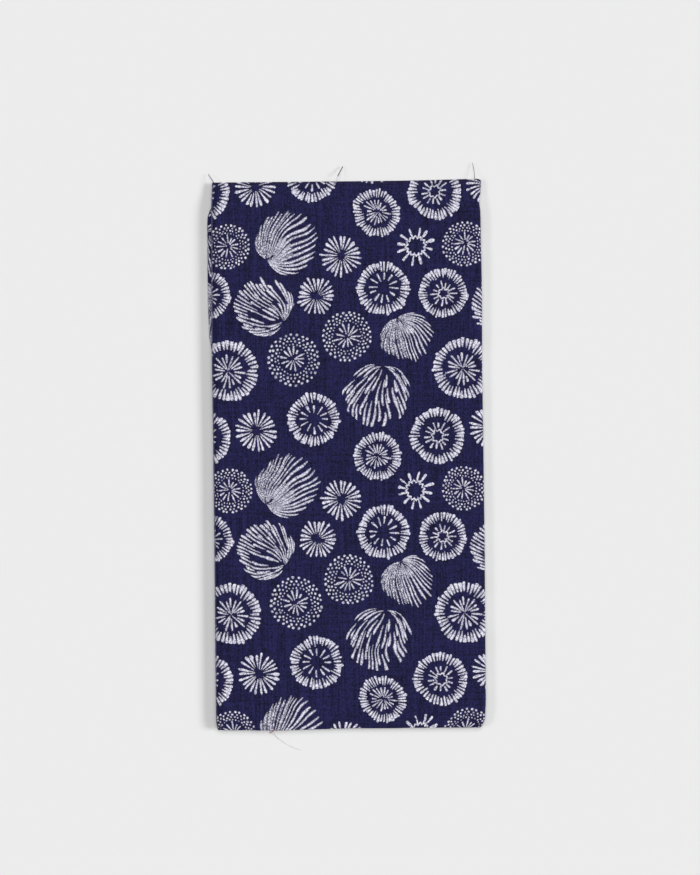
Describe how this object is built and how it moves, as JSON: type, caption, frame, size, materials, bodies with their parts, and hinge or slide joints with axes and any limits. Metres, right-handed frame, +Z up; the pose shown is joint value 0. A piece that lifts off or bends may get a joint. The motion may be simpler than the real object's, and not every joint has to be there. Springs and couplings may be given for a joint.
{
  "type": "tenugui towel",
  "caption": "Plain-woven cotton hand towel, folded flat into a narrow oblong stack, dyed indigo with white chrysanthemum, dot and pompon motifs.",
  "frame": {"origin": "below the middle of the folded stack, on the surface it rests on", "axes": "+Z up; +Y along the stack towards the top panel's raw end; the top run's open edge lies on -X"},
  "size_m": [0.1126, 0.225, 0.0054],
  "materials": {
    "dyed_cotton": "matt plain weave, indigo ground with white print"
  },
  "bodies": {
    "root": {"tenugui_cloth": "dyed_cotton"}
  },
  "joints": []
}
